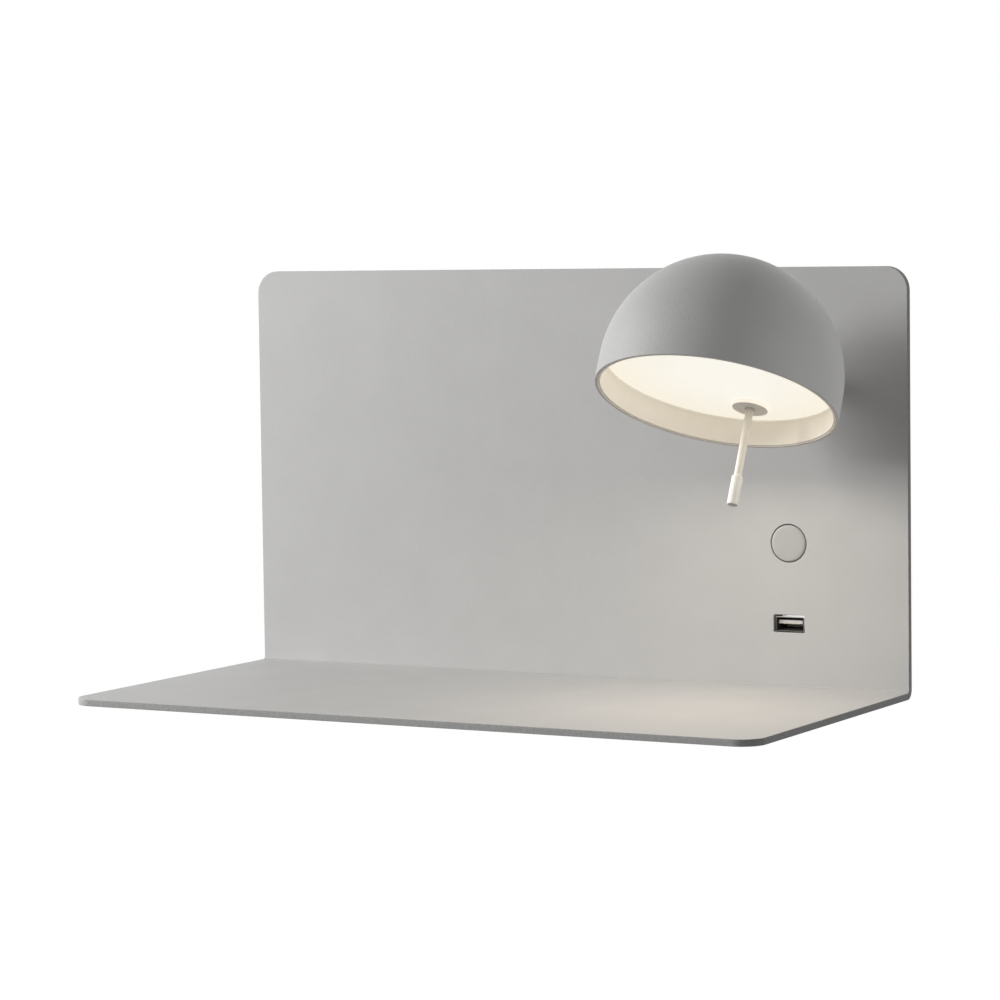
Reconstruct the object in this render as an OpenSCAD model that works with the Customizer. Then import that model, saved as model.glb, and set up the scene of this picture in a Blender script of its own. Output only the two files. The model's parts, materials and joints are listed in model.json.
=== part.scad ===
// Wall lamp with a shelf: a folded sheet panel on a wall bracket, a dome head that swivels and
// tilts on a short arm, a push button and a USB socket in the panel.
// Millimetres. The origin is on the wall, in the middle of the wall bracket's rear face.
// +X is to the right of someone facing the lamp, +Y goes into the wall and +Z is up.

/* [Panel] */
// Width of the folded sheet
panel_w = 350; // [330:1:420]
// Height of the upright above the shelf's top
upright_h = 195.3; // [185:0.1:240]
// Depth of the shelf in front of the upright
shelf_d = 168.5; // [150:0.1:220]
// Thickness of the coated sheet
sheet_t = 3.2; // [2.6:0.1:3.6]
// Inside radius of the fold
fold_r = 1.5; // [1:0.1:4]
// Radius of the sheet's free corners
corner_r = 11; // [4:0.5:20]
// Space between the wall and the upright's back
stand_off = 25; // [25:0.5:30]

/* [Fittings in the panel] */
// Distance of the lamp, button and socket from the panel's right edge
lamp_inset = 60; // [58:1:64]
// Height of the arm's axis above the shelf
lamp_h = 146.4; // [140:0.1:160]
// Height of the button's centre above the shelf
button_h = 67; // [66:0.5:70]
// Height of the socket's centre above the shelf
socket_h = 29.2; // [27:0.1:31]

/* [Rear frame] */
// Distance of the frame from the panel's side edges
frame_inset = 30; // [24:1:32]
// Frame's reach above the arm's axis
frame_above = 22; // [22:0.1:26]
// Frame's reach below the socket's centre
frame_below = 15.2; // [15:0.1:20]
// Thickness of the frame's sheet
frame_t = 1.5; // [1:0.1:2]
// Width of the flange welded to the panel
flange_w = 6; // [4:0.5:6]
// Outside radius of the frame's corners
frame_r = 6; // [4:0.5:10]
// Space between the frame's rear edge and the wall
frame_gap = 0.5; // [0.2:0.1:1]

/* [Wall bracket] */
// Width of the bracket
bracket_w = 200; // [190:1:210]
// Thickness of the bracket
bracket_t = 2; // [1.5:0.1:2.5]
// Width of each folded ear
ear_w = 24; // [16:1:30]
// Depth of each ear in front of the bracket
ear_d = 12; // [10:0.5:13]
// Distance of the ears from the bracket's middle
ear_x = 80; // [70:1:84]
// Play between the ears and the frame
ear_gap = 0.3; // [0.1:0.05:0.4]
// Side by side spacing of the wall screws
slot_dx = 120; // [100:1:126]
// Spacing of the wall screws up the wall
slot_dz = 100; // [90:1:110]
// Width of the slots for the wall screws
slot_w = 5.2; // [4.2:0.1:6.5]
// Length of the slots for the wall screws
slot_l = 12; // [8:0.5:16]
// Diameter of the screws that hold the frame on the ears
frame_screw_d = 4; // [3:0.5:5]
// Diameter of the cable hole in the bracket
entry_d = 14; // [12:0.5:18]
// Cable hole below the bracket's middle
entry_drop = 22; // [18:1:24]
// Bore of the cable grommet
grommet_bore = 8; // [6:0.5:9]

/* [Arm] */
// Diameter of the arm
arm_d = 10; // [9:0.5:10.5]
// Bore of the arm
arm_bore = 6.5; // [5:0.5:7]
// Distance from the panel's front to the tilt axis
arm_reach = 34.4; // [34:0.1:45]
// Wall of the bush in the panel
bush_wall = 2; // [1.5:0.1:3]
// Diameter of the bush's flange
bush_flange_d = 20; // [18:0.5:24]
// Thickness of the bush's flange
bush_flange_t = 1.2; // [0.8:0.1:2]
// Diameter of the arm's collar
collar_d = 16; // [14:0.5:20]
// Thickness of the arm's collar
collar_t = 2.5; // [2:0.1:3.5]
// Swivel each way before the stop
swivel_limit = 150; // [90:5:150]

/* [Tilt joint] */
// Tilt of the head from straight down, as photographed
rest_tilt = 25; // [0:0.5:60]
// Largest tilt of the head from straight down
tilt_limit = 65; // [60:1:70]
// Thickness of the arm's tongue
tongue_t = 5; // [4:0.5:6]
// Radius of the tongue's end
tongue_r = 4.5; // [4:0.1:4.6]
// Diameter of the tilt bolt
bolt_d = 4; // [3:0.5:4.5]
// Thickness of the friction discs
friction_t = 1; // [0.8:0.1:1.5]
// Thickness of the yoke's cheeks
cheek_t = 1.5; // [1.2:0.1:2.5]
// Radius of the yoke's cheeks
cheek_r = 5.5; // [5:0.1:5.9]

/* [Shade] */
// Outside diameter of the shade
shade_d = 110; // [108:0.2:118]
// Wall of the shade
shade_wall = 1.7; // [1.6:0.1:2.6]
// Straight skirt below the half sphere
skirt_h = 12.2; // [11:0.1:12.6]
// Distance of the shade's axis from the tilt axis
axis_offset = 34.4; // [33:0.1:36]
// Height of the tilt axis above the rim
joint_rise = 27.3; // [26:0.1:28]
// Depth of the diffuser inside the rim
recess = 12.7; // [11:0.1:13]
// Gap between the arm and the shade's slot
slot_gap = 0.6; // [0.4:0.1:1]
// Wall of the white liner
liner_wall = 0.6; // [0.6:0.1:1.2]
// Liner's edge above the rim
liner_lift = 0.5; // [0.5:0.1:2]
// Thickness of the diffuser
diffuser_t = 2; // [1.5:0.1:2.5]
// Thickness of the LED tray
tray_t = 1.5; // [1:0.1:1.8]
// Diameter of the LED board
led_board_d = 60; // [50:1:61]
// Thickness of the LED board
led_board_t = 1.2; // [1:0.1:1.6]

/* [Aiming stick] */
// Diameter of the stick
stick_d = 3.6; // [3:0.1:4.5]
// Diameter of the grip at the tip
grip_d = 5.2; // [4.6:0.1:7]
// Length of the grip
grip_l = 14; // [10:0.5:20]
// Length of the stick below the diffuser
stick_l = 48.4; // [40:0.1:70]
// Diameter of the cap on the diffuser
cap_d = 16.4; // [12:0.1:20]
// Thickness of the cap
cap_t = 2; // [1:0.1:3]

/* [Button] */
// Diameter of the button
button_d = 17.2; // [15:0.1:18]
// Gap round the button
button_gap = 0.45; // [0.2:0.05:0.6]
// Button in front of the panel
button_proud = 0.5; // [0:0.1:1]
// Travel of the button
button_travel = 1.2; // [0.5:0.1:1.8]

/* [USB socket] */
// Width of the panel's cut-out
cutout_w = 15.6; // [15.4:0.1:17]
// Height of the panel's cut-out
cutout_h = 8.2; // [8:0.1:9]
// Width of the flared mouth
mouth_w = 14.3; // [14.2:0.1:15]
// Height of the flared mouth
mouth_h = 7; // [6.6:0.1:7.2]
// Socket's mouth behind the panel's front
socket_recess = 1; // [0.4:0.1:1.4]
// Length of the socket
socket_l = 14; // [12:0.5:16]

/* [Driver] */
// Length of the driver
driver_l = 120; // [90:1:130]
// Height of the driver
driver_h = 40; // [34:1:44]
// Thickness of the driver
driver_t = 16; // [12:0.5:17]
// Driver's middle to the left of the bracket's middle
driver_shift = 45; // [40:1:50]
// Driver's middle above the bracket's middle
driver_rise = 36; // [34:0.5:37]

/* [Hidden] */
$fn = 96;

fit = 0.05;          // radial play of a shaft or screw in its hole
lead_d = 2.8;        // diameter of the inner leads
eps = 0.01;

// Heights from the bracket's middle, and depths from the wall
frame_top = lamp_h + frame_above;
frame_bottom = socket_h - frame_below;
frame_h = frame_top - frame_bottom;
shelf_z = -(frame_top + frame_bottom) / 2;
lamp_x = panel_w / 2 - lamp_inset;
lamp_z = shelf_z + lamp_h;
button_z = shelf_z + button_h;
socket_z = shelf_z + socket_h;
back_y = -stand_off;
front_y = back_y - sheet_t;
joint_y = front_y - arm_reach;

// Rear frame and bracket
frame_w = panel_w - 2 * frame_inset;
bracket_h = frame_h - 2 * frame_t - 2 * ear_gap;
ear_mid_y = -bracket_t - ear_d * 0.55;
grommet_t = 2.5;     // thickness of the grommet's flange
grommet_lip = 2;     // its width beyond the hole
stud_d = 3;
stud_l = 6;
stud_nut_w = 5.5;
stud_nut_t = 2.4;

// Arm
bush_d = arm_d + 2 * fit + 2 * bush_wall;
ring_t = 1;
stop_t = 1.5;
stop_r = bush_flange_d / 2;
tab_r = stop_r + 5.5;
peg_d = 4;
peg_at = stop_r + 3.8;
stop_play = 1.5;                     // degrees left between the tab and the peg at the limit
tab_half = 180 - swivel_limit - asin(peg_d / 2 / peg_at) - stop_play;
wave_t = 0.8;
arm_nut_t = 4;
arm_nut_w = arm_d * 1.4;
stop_y = back_y + ring_t;
nut_y = stop_y + stop_t + wave_t;
arm_rear = nut_y + arm_nut_t + 3.7;  // rear end of the arm
neck = 6.5;                          // clear radius round the tilt axis, in front of the arm's tube
plug_t = 1;
lead_hole_d = 4.5;
lead_hole_at = 10;                   // from the tilt axis
bend_r = 3.2;                        // bend of the lead inside the arm

// Head, in its own frame: the tilt axis is the origin, +Z is away from the opening
// and +Y is towards the wall
rim_z = -joint_rise;
equator_z = rim_z + skirt_h;
diffuser_z = rim_z + recess;
shade_r = shade_d / 2;
inner_r = shade_r - shade_wall;
liner_r = inner_r - 0.1;
liner_in = liner_r - liner_wall;
ledge = 0.4;
tray_r = liner_in - 0.8;
tray_flange = 1.2;
cheek_x = tongue_t / 2 + friction_t; // inner face of each cheek
yoke_base_t = 1.5;
yoke_z = -cheek_r + 0.1 - yoke_base_t;
tray_z = yoke_z - tray_t;
led_board_z = tray_z - led_board_t;
boss_d = 7;
boss_at = inner_r - 9.2;
boss_turn = [60, 180, 300];
tray_screw_d = 3;
bolt_head_d = 7;
bolt_head_t = 2.2;
spring_t = 0.8;
tilt_nut_w = 7;
tilt_nut_t = 3.2;
yoke_half = 13;
yoke_depth = 14;
yoke_screw_d = 2.5;
yoke_screw_x = 9.5;
led_size = [3.5, 2.8, 0.8];
led_rings = [[26, 16], [14, 8]];     // radius and number of LEDs
stick_hole_d = stick_d + 0.8;
stick_tip = diffuser_z - stick_l;
grip_floor = 2;                      // closed end of the grip
grip_bevel = 0.3;
grip_shoulder = 0.5;
cap_bevel = 0.2;
lead_pad_y = -20;                    // where the head's lead meets the LED board

// Button and switch
button_flange_d = button_d + 3.1;
button_flange_t = 1.2;
flange_play = 0.1;
button_front = front_y - button_proud;
button_back = back_y + flange_play + button_flange_t;
button_bevel = 0.5;
button_slope = [1.9, 0.25];         // width and drop of the slope round the button's face
plunger_d = 6;
plunger_in = 1.4;                    // plunger's reach into the switch at rest
switch_w = 13;
switch_bore = plunger_in + button_travel + 0.1;
switch_bracket_w = 18;
switch_depth = 7.2;
web_t = 1.2;
web_y = -8.8;                        // front of the switch bracket's web
switch_y = web_y - switch_depth;
foot_at = 22.5;
foot_h = 9.9;
leg_at = 17;

// USB socket
usb_wall = 0.4;
usb_w = 13.2;
usb_h = 5.9;
usb_front = front_y + socket_recess;
usb_back = usb_front + socket_l;
usb_flare = 2.4;
cutout_rise = 0.2;                   // middle of the cut-out above the socket's
tongue_w = 11.9;
tongue_h = 1.6;
tongue_low = 0.1;                    // underside of the tongue above the socket's middle
insulator_l = 3;
usb_board_t = 1.6;
usb_board_z = socket_z - usb_h / 2 - usb_board_t;
usb_board_w = 28;
usb_board_l = 20;
usb_board_y = back_y + 0.4;
usb_screw_d = 2.5;
usb_screw_x = 11.5;
usb_screw_y = usb_board_y + 4;
usb_bracket_w = 44;
usb_tab_x = 18;
usb_tab_w = 8;
usb_tab_h = 12.4;
usb_stud_z = usb_board_z + 6.5;

// Driver, terminals and leads
driver_x = -driver_shift;
driver_r = 3;
driver_left = driver_x - driver_l / 2;
driver_right = driver_x + driver_l / 2;
lug_l = 8;
lug_w = 12;
lug_t = 1.6;
lead_y = back_y + driver_t / 2;
block_x = -22;
block_z = -50;
block_w = 30;
block_h = 16;
block_t = 13;
block_top = block_z + block_h / 2;
wire_mouth_d = 4;
clamp_d = 5;
clamp_l = 3.5;
earth_x = 22;
earth_d = 4;
earth_l = 10;
earth_nut_w = 7;
earth_nut_t = 3.2;

// ---------------------------------------------------------------- shared shapes

// A cylinder along +X, +Y or -Y that starts at the origin
module along_x(d, l) rotate([0, 90, 0]) cylinder(d = d, h = l);
module along_y(d, l) rotate([-90, 0, 0]) cylinder(d = d, h = l);

// A block w wide and h high, centred in X and Z, that runs t along +Y
module slab(w, h, t) translate([-w / 2, 0, -h / 2]) cube([w, t, h]);

// A flat outline in X and Z made t thick, from y = 0 to y = t
module plate_xz(t) translate([0, t, 0]) rotate([90, 0, 0]) linear_extrude(t) children();

module rounded_rect(w, h, r) {
    square([w - 2 * r, h], center = true);
    square([w, h - 2 * r], center = true);
    for (x = [-1, 1], y = [-1, 1])
        translate([x * (w / 2 - r), y * (h / 2 - r)]) circle(r);
}

// A rectangle that stands on the X axis, with its two far corners rounded
module free_edge(w, l, r) {
    translate([-w / 2, 0]) square([w, l - r]);
    translate([r - w / 2, 0]) square([w - 2 * r, l]);
    for (x = [-1, 1]) translate([x * (w / 2 - r), l - r]) circle(r);
}

module slot_2d(l, w) {
    square([l - w, w], center = true);
    for (x = [-1, 1]) translate([x * (l - w) / 2, 0]) circle(d = w);
}

module hex(w, t) cylinder(d = w / cos(30), h = t, $fn = 6);

module washer(d, bore, t) difference() {
    cylinder(d = d, h = t);
    translate([0, 0, -1]) cylinder(d = bore, h = t + 2);
}

module nut(w, bore, t) difference() {
    hex(w, t);
    translate([0, 0, -1]) cylinder(d = bore, h = t + 2);
}

// A screw whose head stands on z = 0 and whose shank goes down
module pan_screw(d, l) difference() {
    union() {
        cylinder(d = 1.85 * d, h = 0.55 * d);
        translate([0, 0, -l]) cylinder(d = d, h = l + eps);
    }
    translate([0, 0, 0.25 * d]) hex(0.8 * d, d);
}

// Places children in the head's own frame, at its rest tilt
module in_head() translate([lamp_x, joint_y, lamp_z]) rotate([-rest_tilt, 0, 0]) children();
module on_shade_axis() translate([0, -axis_offset, 0]) children();
module at_bosses() for (a = boss_turn)
    translate([boss_at * sin(a), boss_at * cos(a) - axis_offset, 0]) children();

// ---------------------------------------------------------------- leads

function unit(v) = v / norm(v);
function catmull(a, b, c, d, t) = 0.5 * ((2 * b) + (c - a) * t
    + (2 * a - 5 * b + 4 * c - d) * t * t + (3 * b - a - 3 * c + d) * t * t * t);
function smooth(p, steps) = let (n = len(p), q = concat([2 * p[0] - p[1]], p, [2 * p[n - 1] - p[n - 2]]))
    [for (i = [0 : n - 2], k = [0 : steps - 1]) catmull(q[i], q[i + 1], q[i + 2], q[i + 3], k / steps),
     p[n - 1]];
function tangents(p, q) = let (n = len(p), m = len(q)) [for (i = [0 : n - 1])
    i == 0 ? unit(q[1] - q[0]) : i == n - 1 ? unit(q[m - 1] - q[m - 2]) : unit(p[i + 1] - p[i - 1])];
// Each ring's first normal is the one before it, turned as little as the route allows
function normals(t, i, n) = i == len(t) ? [] :
    let (m = unit(n - (n * t[i]) * t[i])) concat([m], normals(t, i + 1, m));

// A round lead along hand-picked points, square to its first and last stretch
module lead(points, first_normal, d = lead_d, steps = 5, sides = 8) {
    path = smooth(points, steps);
    t = tangents(path, points);
    n = normals(t, 0, first_normal);
    rings = len(path);
    verts = [for (i = [0 : rings - 1], k = [0 : sides - 1])
        path[i] + d / 2 * (cos(360 * k / sides) * n[i] + sin(360 * k / sides) * cross(t[i], n[i]))];
    walls = [for (i = [0 : rings - 2], k = [0 : sides - 1]) let (j = (k + 1) % sides)
        each [[i * sides + k, (i + 1) * sides + k, (i + 1) * sides + j],
              [i * sides + k, (i + 1) * sides + j, i * sides + j]]];
    start = [[for (k = [0 : sides - 1]) k]];
    finish = [[for (k = [sides - 1 : -1 : 0]) (rings - 1) * sides + k]];
    polyhedron(verts, concat(walls, start, finish), convexity = 6);
}

// ---------------------------------------------------------------- panel

module shelf_panel() color([0.76, 0.75, 0.74]) difference() {
    union() {
        translate([0, front_y, shelf_z + fold_r])
            plate_xz(sheet_t) free_edge(panel_w, upright_h - fold_r, corner_r);
        translate([0, front_y - fold_r, shelf_z - sheet_t]) rotate([0, 0, 180])
            linear_extrude(sheet_t) free_edge(panel_w, shelf_d - fold_r, corner_r);
        translate([-panel_w / 2, front_y - fold_r, shelf_z + fold_r]) rotate([90, 0, 90])
            linear_extrude(panel_w) intersection() {
                difference() {
                    circle(fold_r + sheet_t);
                    circle(fold_r);
                }
                translate([0, -fold_r - sheet_t]) square(fold_r + sheet_t);
            }
    }
    translate([lamp_x, front_y - 1, lamp_z]) along_y(bush_d + 2 * fit, sheet_t + 2);
    translate([lamp_x, front_y - 1, button_z]) along_y(button_d + 2 * button_gap, sheet_t + 2);
    translate([lamp_x, front_y - 1, socket_z + cutout_rise])
        plate_xz(sheet_t + 2) rounded_rect(cutout_w, cutout_h, 0.6);
}

// Weld studs on the panel's back, under the driver's lugs and the two inner brackets
function stud_places() = [
    [driver_x - driver_l / 2 - lug_l / 2, driver_rise, lug_t],
    [driver_x + driver_l / 2 + lug_l / 2, driver_rise, lug_t],
    [lamp_x, button_z - foot_at, web_t],
    [lamp_x, button_z + foot_at, web_t],
    [lamp_x - usb_tab_x, usb_stud_z, web_t],
    [lamp_x + usb_tab_x, usb_stud_z, web_t]
];

module panel_studs() color([0.72, 0.72, 0.72]) for (p = stud_places())
    translate([p[0], back_y, p[1]]) along_y(stud_d, stud_l);

module stud_nuts() color([0.8, 0.8, 0.8]) for (p = stud_places())
    translate([p[0], back_y + p[2], p[1]]) rotate([-90, 0, 0])
        nut(stud_nut_w, stud_d + 2 * fit, stud_nut_t);

// ---------------------------------------------------------------- frame and bracket

module at_frame_screws() for (x = [-1, 1], z = [-1, 1])
    translate([x * ear_x, ear_mid_y, z * frame_h / 2]) rotate([z < 0 ? 180 : 0, 0, 0]) children();

module rear_frame() color([0.72, 0.71, 0.7]) difference() {
    union() {
        translate([0, back_y, 0]) plate_xz(stand_off - frame_gap) difference() {
            rounded_rect(frame_w, frame_h, frame_r);
            rounded_rect(frame_w - 2 * frame_t, frame_h - 2 * frame_t, frame_r - frame_t);
        }
        translate([0, back_y, 0]) plate_xz(frame_t) difference() {
            rounded_rect(frame_w, frame_h, frame_r);
            square([frame_w - 2 * flange_w, frame_h - 2 * flange_w], center = true);
        }
    }
    at_frame_screws() translate([0, 0, -5]) cylinder(d = frame_screw_d + 0.5, h = 10);
}

module wall_bracket() color([0.78, 0.78, 0.78]) difference() {
    union() {
        translate([0, -bracket_t, 0]) plate_xz(bracket_t) rounded_rect(bracket_w, bracket_h, 4);
        for (x = [-1, 1], z = [-1, 1])
            translate([x * ear_x - ear_w / 2, -bracket_t - ear_d,
                       z * (bracket_h - bracket_t) / 2 - bracket_t / 2])
                cube([ear_w, ear_d + eps, bracket_t]);
    }
    for (x = [-1, 1], z = [-1, 1])
        translate([x * slot_dx / 2, -bracket_t - 1, z * slot_dz / 2])
            plate_xz(bracket_t + 2) slot_2d(slot_l, slot_w);
    translate([0, -bracket_t - 1, -entry_drop]) along_y(entry_d, bracket_t + 2);
    at_frame_screws() translate([0, 0, -8]) cylinder(d = frame_screw_d + 2 * fit, h = 10);
}

module frame_screws() color([0.75, 0.75, 0.75]) at_frame_screws() pan_screw(frame_screw_d, 6);

module cable_grommet() color([0.2, 0.2, 0.2]) translate([0, -bracket_t, -entry_drop]) difference() {
    union() {
        along_y(entry_d - 4 * fit, bracket_t);
        translate([0, -grommet_t, 0]) along_y(entry_d + 2 * grommet_lip, grommet_t);
    }
    translate([0, -grommet_t - 1, 0]) along_y(grommet_bore, grommet_t + bracket_t + 2);
}

// Three-pole block, with a wire mouth above and below each clamp screw
function poles() = [for (i = [-1 : 1]) block_x + i * block_w / 3];

module terminal_block() color([0.93, 0.92, 0.88]) difference() {
    translate([block_x - block_w / 2, -bracket_t - block_t, block_z - block_h / 2])
        cube([block_w, block_t, block_h]);
    for (x = poles()) {
        translate([x, -bracket_t - block_t / 2, block_z - block_h])
            cylinder(d = wire_mouth_d, h = block_h * 2);
        translate([x, -bracket_t - block_t - 1, block_z]) along_y(clamp_d, block_t / 2 + 1);
    }
}

module terminal_screws() color([0.78, 0.72, 0.5]) for (x = poles())
    translate([x, -bracket_t - (block_t + wire_mouth_d) / 2 - clamp_l, block_z]) difference() {
        along_y(clamp_d - 2 * fit, clamp_l);
        translate([0, -1, 0]) slab(clamp_d + 1, 0.8, 2);
    }

module earth_stud() color([0.8, 0.7, 0.4])
    translate([earth_x, -bracket_t - earth_l, block_z]) along_y(earth_d, earth_l);

module earth_nut() color([0.8, 0.7, 0.4])
    translate([earth_x, -bracket_t - earth_nut_t, block_z]) rotate([-90, 0, 0])
        nut(earth_nut_w, earth_d + 2 * fit, earth_nut_t);

// ---------------------------------------------------------------- driver and leads

module led_driver() color([0.9, 0.9, 0.9]) difference() {
    translate([driver_x, back_y, driver_rise]) {
        plate_xz(driver_t) rounded_rect(driver_l, driver_h, driver_r);
        plate_xz(lug_t) rounded_rect(driver_l + 2 * lug_l, lug_w, driver_r);
    }
    for (x = [-1, 1])
        translate([driver_x + x * (driver_l + lug_l) / 2, back_y - 1, driver_rise])
            along_y(stud_d + 2 * fit, lug_t + 2);
}

module mains_lead() color([0.25, 0.25, 0.27]) lead([
    [poles()[0], -bracket_t - block_t / 2, block_top],
    [poles()[0], -bracket_t - block_t / 2, block_top + 8],
    [poles()[0] - 25, lead_y + 5, -16],
    [driver_left - 2, lead_y + 2, 2],
    [driver_left - 17, lead_y, 18],
    [driver_left - 8, lead_y, driver_rise + 10],
    [driver_left, lead_y, driver_rise + 10]
], [0, 1, 0]);

module lamp_lead() color([0.9, 0.9, 0.88]) lead([
    [lamp_x, arm_rear, lamp_z],
    [lamp_x, arm_rear + 3.5, lamp_z],
    [lamp_x - 5, -6.5, lamp_z],
    [lamp_x - 16, -8, lamp_z - 3],
    [driver_right + 28, lead_y, driver_rise + 16],
    [driver_right + 8, lead_y, driver_rise + 13],
    [driver_right, lead_y, driver_rise + 13]
], [0, 0, 1]);

module switch_lead() color([0.85, 0.2, 0.2]) lead([
    [lamp_x - switch_w / 2, web_y - 3, button_z],
    [lamp_x - switch_w / 2 - 8, web_y - 3, button_z],
    [lamp_x - 40, lead_y + 2, button_z + 16],
    [driver_right + 26, lead_y, driver_rise - 12],
    [driver_right + 8, lead_y, driver_rise - 8],
    [driver_right, lead_y, driver_rise - 8]
], [0, 1, 0]);

module usb_lead() color([0.25, 0.25, 0.27]) lead([
    [lamp_x - 10, -9, usb_board_z + usb_board_t],
    [lamp_x - 10, -9, usb_board_z + usb_board_t + 6],
    [lamp_x - 26, -10, usb_board_z + 22],
    [driver_right + 44, lead_y, button_z + 6],
    [driver_right + 16, lead_y, driver_rise - 22],
    [driver_right + 7, lead_y, driver_rise - 16],
    [driver_right, lead_y, driver_rise - 16]
], [0, 1, 0]);

// ---------------------------------------------------------------- USB socket

// A block that narrows from w by h at y = 0 to w2 by h2 at y = l
module flare(w, h, w2, h2, l) hull() {
    slab(w, h, eps);
    translate([0, l - eps, 0]) slab(w2, h2, eps);
}

module usb_shell() color([0.72, 0.72, 0.73]) translate([lamp_x, usb_front, socket_z]) difference() {
    union() {
        flare(mouth_w, mouth_h, usb_w, usb_h, usb_flare);
        slab(usb_w, usb_h, socket_l);
    }
    translate([0, -eps, 0]) flare(mouth_w - 2 * usb_wall, mouth_h - 2 * usb_wall,
        usb_w - 2 * usb_wall, usb_h - 2 * usb_wall, usb_flare + 2 * eps);
    translate([0, -1, 0]) slab(usb_w - 2 * usb_wall, usb_h - 2 * usb_wall, socket_l + 1 - usb_wall);
}

// Insulator: a block at the rear and the tongue in the upper half of the mouth
module usb_tongue() color([0.86, 0.86, 0.85]) translate([lamp_x, 0, socket_z]) {
    translate([0, usb_front + 1, tongue_low + tongue_h / 2])
        slab(tongue_w, tongue_h, socket_l - 1 - usb_wall);
    translate([0, usb_back - usb_wall - insulator_l, 0])
        slab(usb_w - 2 * usb_wall - 0.1, usb_h - 2 * usb_wall - 0.1, insulator_l);
}

module usb_contacts() color([0.85, 0.68, 0.3]) for (x = [-3.5, -1, 1, 3.5])
    translate([lamp_x + x, usb_front + 2, socket_z + tongue_low - 0.15])
        slab(1, 0.3, socket_l - 2 - usb_wall - insulator_l);

module usb_board() color([0.13, 0.36, 0.2]) difference() {
    translate([lamp_x - usb_board_w / 2, usb_board_y, usb_board_z])
        cube([usb_board_w, usb_board_l, usb_board_t]);
    for (x = [-1, 1]) translate([lamp_x + x * usb_screw_x, usb_screw_y, usb_board_z - 1])
        cylinder(d = usb_screw_d + 2 * fit, h = usb_board_t + 2);
}

module usb_parts() color([0.2, 0.2, 0.22]) translate([lamp_x, 0, usb_board_z + usb_board_t]) {
    translate([-4, usb_back + 1.2, 0]) cube([6, 5, 3]);
    translate([8, usb_back + 3.2, 0]) cylinder(d = 5, h = 7);
}

// Angle bracket under the board, with a tab each side that goes over a weld stud
module usb_bracket() color([0.8, 0.8, 0.8]) difference() {
    union() {
        translate([lamp_x - usb_bracket_w / 2, back_y, usb_board_z - web_t])
            cube([usb_bracket_w, usb_board_l, web_t]);
        for (x = [-1, 1])
            translate([lamp_x + x * usb_tab_x, back_y, usb_board_z - web_t + usb_tab_h / 2])
                slab(usb_tab_w, usb_tab_h, web_t);
    }
    for (x = [-1, 1]) {
        translate([lamp_x + x * usb_tab_x, back_y - 1, usb_stud_z])
            along_y(stud_d + 2 * fit, web_t + 2);
        translate([lamp_x + x * usb_screw_x, usb_screw_y, usb_board_z - web_t - 1])
            cylinder(d = usb_screw_d + 2 * fit, h = web_t + 2);
    }
}

module usb_screws() color([0.8, 0.8, 0.8]) for (x = [-1, 1])
    translate([lamp_x + x * usb_screw_x, usb_screw_y, usb_board_z + usb_board_t])
        pan_screw(usb_screw_d, usb_board_t + web_t);

// ---------------------------------------------------------------- button

module switch_bracket() color([0.8, 0.8, 0.8]) translate([lamp_x, 0, button_z]) difference() {
    union() {
        translate([0, web_y, 0]) slab(switch_bracket_w, 2 * leg_at, web_t);
        for (z = [-1, 1]) {
            translate([0, back_y, z * (leg_at - web_t / 2)])
                slab(switch_bracket_w, web_t, web_y + web_t - back_y);
            translate([0, back_y, z * (leg_at + foot_h / 2 - eps)])
                slab(switch_bracket_w, foot_h, web_t);
        }
    }
    for (z = [-1, 1]) translate([0, back_y - 1, z * foot_at]) along_y(stud_d + 2 * fit, web_t + 2);
}

module switch_body() color([0.16, 0.16, 0.17]) translate([lamp_x, switch_y, button_z]) difference() {
    plate_xz(switch_depth) rounded_rect(switch_w, switch_w, 1);
    translate([0, -1, 0]) along_y(plunger_d + 4 * fit, switch_bore + 1);
}

// A flat face with a gentle slope and a bevel round it, on a wider flange behind the panel
module button_cap() color([0.74, 0.73, 0.72]) translate([lamp_x, button_front, button_z]) {
    r = button_d / 2;
    flange_r = button_flange_d / 2;
    depth = button_back - button_front;
    rotate([-90, 0, 0]) rotate_extrude() polygon([
        [0, 0], [r - button_bevel - button_slope[0], 0], [r - button_bevel, button_slope[1]],
        [r, button_slope[1] + button_bevel],
        [r, depth - button_flange_t], [flange_r, depth - button_flange_t], [flange_r, depth], [0, depth]
    ]);
}

module button_plunger() color([0.2, 0.2, 0.2]) translate([lamp_x, button_back, button_z])
    along_y(plunger_d, switch_y + plunger_in - button_back);

// ---------------------------------------------------------------- arm

module on_arm(y) translate([lamp_x, y, lamp_z]) rotate([-90, 0, 0]) children();

module arm_bush() color([0.15, 0.15, 0.15]) difference() {
    union() {
        on_arm(front_y - bush_flange_t) cylinder(d = bush_flange_d, h = bush_flange_t);
        on_arm(front_y) cylinder(d = bush_d, h = sheet_t);
    }
    on_arm(front_y - bush_flange_t - 1)
        cylinder(d = arm_d + 2 * fit, h = sheet_t + bush_flange_t + 2);
}

module friction_ring() color([0.35, 0.2, 0.12])
    on_arm(back_y) washer(bush_flange_d, arm_d + 2 * fit, ring_t);

module stop_peg() color([0.75, 0.75, 0.75])
    translate([lamp_x, back_y, lamp_z - peg_at]) along_y(peg_d, ring_t + stop_t + 0.8);

module arm_tube() color([0.75, 0.74, 0.73]) difference() {
    union() {
        on_arm(joint_y + neck + plug_t) cylinder(d = arm_d, h = arm_rear - joint_y - neck - plug_t);
        on_arm(front_y - bush_flange_t - collar_t) cylinder(d = collar_d, h = collar_t);
    }
    on_arm(joint_y + neck) cylinder(d = arm_bore, h = arm_rear - joint_y);
    translate([lamp_x, joint_y + lead_hole_at, lamp_z]) cylinder(d = lead_hole_d, h = arm_d);
}

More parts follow.
